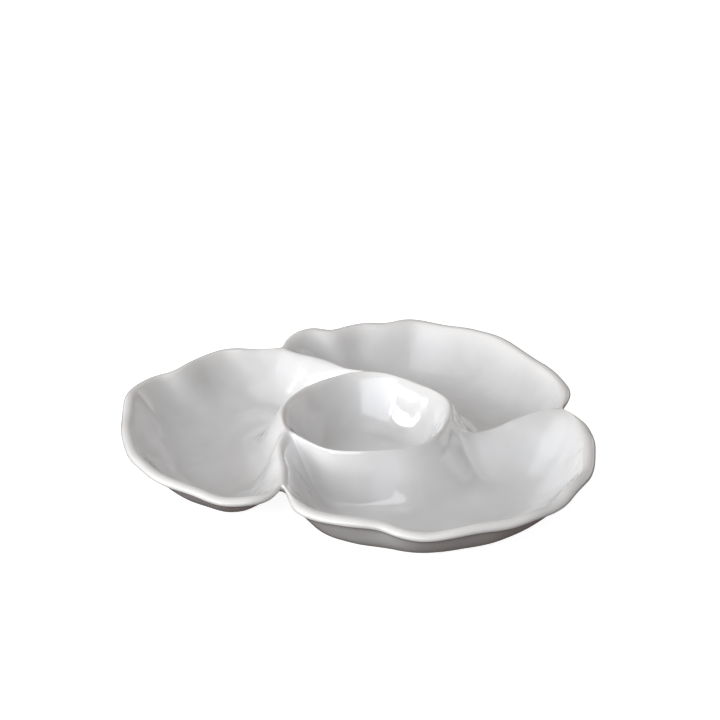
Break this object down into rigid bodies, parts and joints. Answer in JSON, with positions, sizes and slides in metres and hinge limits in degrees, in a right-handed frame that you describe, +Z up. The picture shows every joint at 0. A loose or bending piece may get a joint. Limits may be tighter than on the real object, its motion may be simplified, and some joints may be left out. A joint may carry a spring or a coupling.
{
  "type": "chip and dip server",
  "caption": "Glazed white server with wavy-rimmed petal bowls turning round a central dip cup, on bare clay foot rings.",
  "frame": {"origin": "middle of the footprint, on the plane the server rests on", "axes": "+Z up; +X to the right and +Y to the back as the server is seen from the front; the dip cup stands a little to the right of the origin and in front of it"},
  "size_m": [0.3508, 0.339, 0.05],
  "materials": {
    "white_glaze": "gloss",
    "bare_clay": "matte"
  },
  "bodies": {
    "root": {"left_petal_bowl": "white_glaze", "back_petal_bowl": "white_glaze", "front_petal_bowl": "white_glaze", "dip_cup": "white_glaze", "left_foot_ring": "bare_clay", "back_foot_ring": "bare_clay", "front_foot_ring": "bare_clay", "cup_foot_ring": "bare_clay"}
  },
  "joints": []
}
